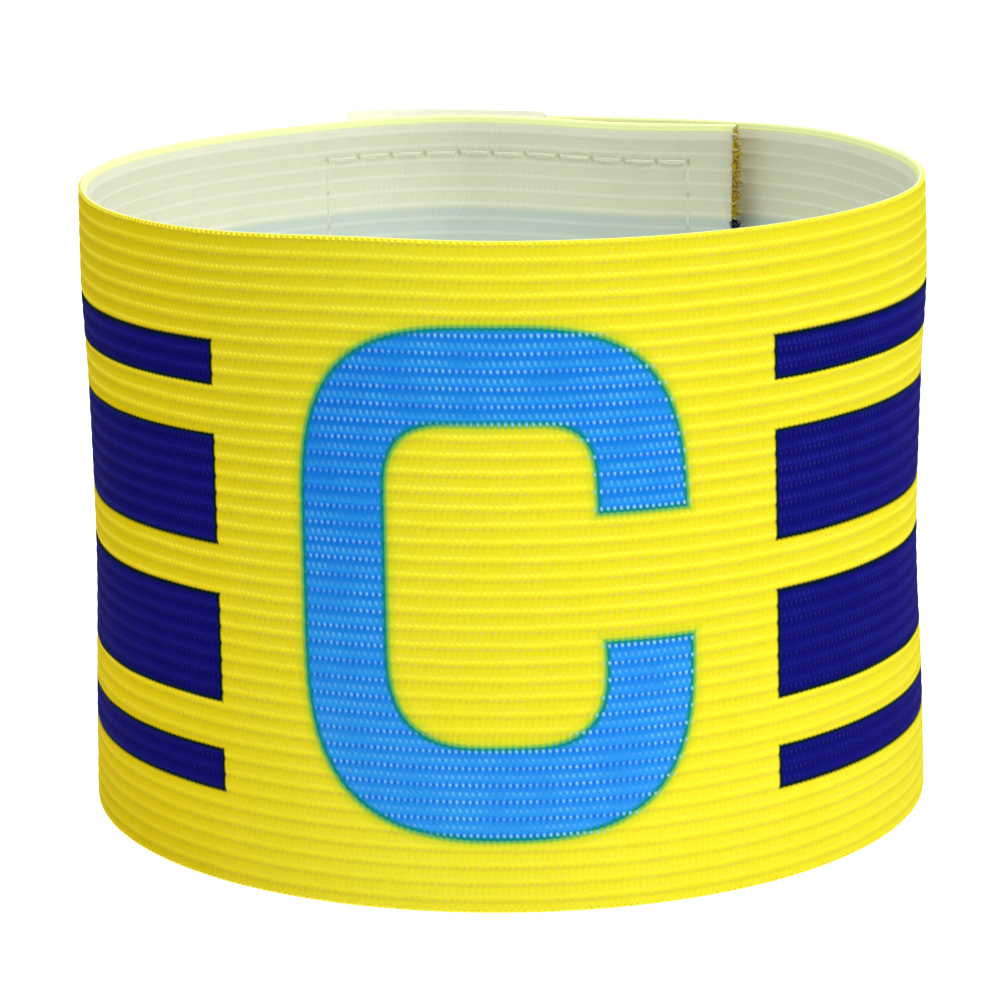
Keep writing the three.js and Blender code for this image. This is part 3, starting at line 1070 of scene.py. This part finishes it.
def make_thread_material():
    material, tree, shader = new_material("thread")
    place = tree.nodes.new("ShaderNodeTexCoord")
    wave = tree.nodes.new("ShaderNodeTexWave")
    wave.bands_direction = "DIAGONAL"
    wave.inputs["Scale"].default_value = 900.0
    wave.inputs["Distortion"].default_value = 0.8
    tree.links.new(place.outputs["Object"], wave.inputs["Vector"])
    ply = Field(tree, wave.outputs["Fac"])
    colour = blend_colours(tree, ply, THREAD, THREAD_LIGHT)
    tree.links.new(colour, shader.inputs["Base Color"])
    shader.inputs["Roughness"].default_value = 0.7
    add_bump(tree, shader, ply, 0.008)
    return material


def make_fray_material():
    material, tree, shader = new_material("loose_yarn")
    u, v = strap_place(tree)
    colour, _ = dyed_colour(tree, u, v)
    strand = noise(tree, u * 3.0, v * 2.5, 0.9, 2.0, 9.0).smooth(0.35, 0.65)
    colour = blend_colours(tree, strand * 0.85, colour, YARN_BROWN, "MULTIPLY")
    pale = noise(tree, u * 2.0, v * 3.0, 0.7, 2.0, 5.0).smooth(0.5, 0.7)
    colour = blend_colours(tree, pale * 0.7, colour, YARN_PALE)
    colour = blend_colours(tree, v.smooth(67.6, 69.2) * 0.85, colour, YARN_TOP)
    tree.links.new(colour, shader.inputs["Base Color"])
    shader.inputs["Roughness"].default_value = 0.75
    shader.inputs["Sheen Weight"].default_value = 0.2
    add_bump(tree, shader, strand, 0.03)
    return material


# Stage

FLOOR_SIZE = 6.0
FLOOR_GLOW = 0.1
FLOOR_GLOW_NEAR = 0.5
FLOOR_GLOW_FAR = 0.8
FLOOR_GLOW_CENTRE = (-0.035, -0.01, 0.0)
WORLD_STRENGTH = 0.17

# Lamps: place and aim (m), width and height (m), and power (W)
LAMPS = (
    ("overhead", (0.0, 0.1, 1.5), (0.0, 0.1, 0.0), (1.2, 1.2), 32.8),
    ("side", (0.675, -0.39, 0.45), (0.0, 0.0, 0.05), (0.35, 0.35), 3.0),
    ("front", (0.06, -0.22, 0.03), (0.0, 0.0, 0.03), (0.3, 0.04), 0.155),
)


def make_floor():
    """White floor that glows, a little more brightly round the armband and out of the lamps' reach."""
    material, tree, shader = new_material("floor_paint")
    shader.inputs["Base Color"].default_value = (0.93, 0.93, 0.93, 1)
    shader.inputs["Roughness"].default_value = 0.9
    shader.inputs["Emission Color"].default_value = (1, 1, 1, 1)
    place = tree.nodes.new("ShaderNodeTexCoord")
    length = tree.nodes.new("ShaderNodeVectorMath")
    length.operation = "DISTANCE"
    length.inputs[1].default_value = FLOOR_GLOW_CENTRE
    tree.links.new(place.outputs["Object"], length.inputs[0])
    distance = Field(tree, length.outputs["Value"])
    glow = distance.smooth(0.2, 0.06) * FLOOR_GLOW_NEAR + distance.smooth(0.35, 1.3) * FLOOR_GLOW_FAR
    glow = glow + FLOOR_GLOW
    tree.links.new(glow.socket, shader.inputs["Emission Strength"])
    half = FLOOR_SIZE / 2 / MM
    corners = [(-half, -half, 0), (half, -half, 0), (half, half, 0), (-half, half, 0)]
    floor = make_piece("floor", corners, [(0, 1, 2, 3)], [material], smooth=False)


def make_world():
    world = bpy.data.worlds.new("studio")
    bpy.context.scene.world = world
    world.use_nodes = True
    background = world.node_tree.nodes["Background"]
    background.inputs["Color"].default_value = (1, 1, 1, 1)
    background.inputs["Strength"].default_value = WORLD_STRENGTH


def make_lamp(name, place, aim, size, power):
    data = bpy.data.lights.new(name, "AREA")
    data.shape = "RECTANGLE"
    data.size, data.size_y = size
    data.energy = power
    lamp = bpy.data.objects.new(name, data)
    bpy.context.scene.collection.objects.link(lamp)
    lamp.location = place
    lamp.rotation_euler = (Vector(aim) - Vector(place)).to_track_quat("-Z", "Y").to_euler()


# Camera, at the photograph's viewing angle
CAMERA_PLACE = (-0.71, -407.28, 130.4)
CAMERA_PITCH = 13.562
CAMERA_ROLL = 0.887
CAMERA_LENS = 132.66
SENSOR_WIDTH = 36.0


def make_camera():
    data = bpy.data.cameras.new("camera")
    data.lens = CAMERA_LENS
    data.sensor_width = SENSOR_WIDTH
    data.clip_start = 0.01
    camera = bpy.data.objects.new("camera", data)
    bpy.context.scene.collection.objects.link(camera)
    tilt = Matrix.Rotation(math.radians(90 - CAMERA_PITCH), 4, "X")
    roll = Matrix.Rotation(math.radians(-CAMERA_ROLL), 4, "Z")
    camera.matrix_world = Matrix.Translation(Vector(CAMERA_PLACE) * MM) @ tilt @ roll
    bpy.context.scene.camera = camera


def main():
    make_camera()
    make_world()
    for lamp in LAMPS:
        make_lamp(*lamp)
    make_floor()

    knit_outer, knit_inner, selvedge = make_knit_outer(), make_knit_inner(), make_selvedge()
    hook_nylon = make_hook_material()
    loop_fabric = make_loop_material()
    thread = make_thread_material()
    loose_yarn = make_fray_material()

    strap = make_strap(knit_outer, knit_inner)
    rim_loops = make_edge_loops("rim_loops", STRAP_HEIGHT, 1, selvedge)
    foot_loops = make_edge_loops("foot_loops", 0.0, -1, selvedge)
    inner_fray = make_fray("inner_end_yarn", INNER_END_TURN, -1, 1100, 1.0, 31, loose_yarn)
    outer_fray = make_fray("outer_end_yarn", OUTER_END_TURN, 1, 600, 0.7, 37, loose_yarn)
    hook_tape = make_hook_tape(hook_nylon)
    hooks = make_hooks(hook_nylon)
    loop_tape = make_loop_tape(loop_fabric)
    pile = make_pile(loop_fabric)

    seams = []
    for name, seam, inward, lift, seed in (
        ("loop_patch_seam", LOOP_SEAM, STRAP_WALL + 0.02, 0.14, 41),
        ("loop_patch_seam_back", LOOP_SEAM, -CLEARANCE - TAPE_BASE, -0.12, 42),
        ("hook_patch_seam", HOOK_SEAM, 0.02, -0.1, 43),
    ):
        heap = Heap()
        add_seam(heap, seam, inward, lift, seed)
        seams.append(heap.piece(name, [thread]))

    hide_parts("band")
    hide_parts("hook_patch")
    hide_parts("loop_patch")
    slots = {
        "elastic_knit": [strap, rim_loops, foot_loops, inner_fray, outer_fray],
        "hook_tape": [hook_tape, hooks],
        "loop_tape": [loop_tape, pile],
        "sewing_thread": seams,
    }
    for slot, pieces in slots.items():
        for piece in pieces:
            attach(piece, "root")
    bpy.context.scene.view_settings.view_transform = "Standard"


main()
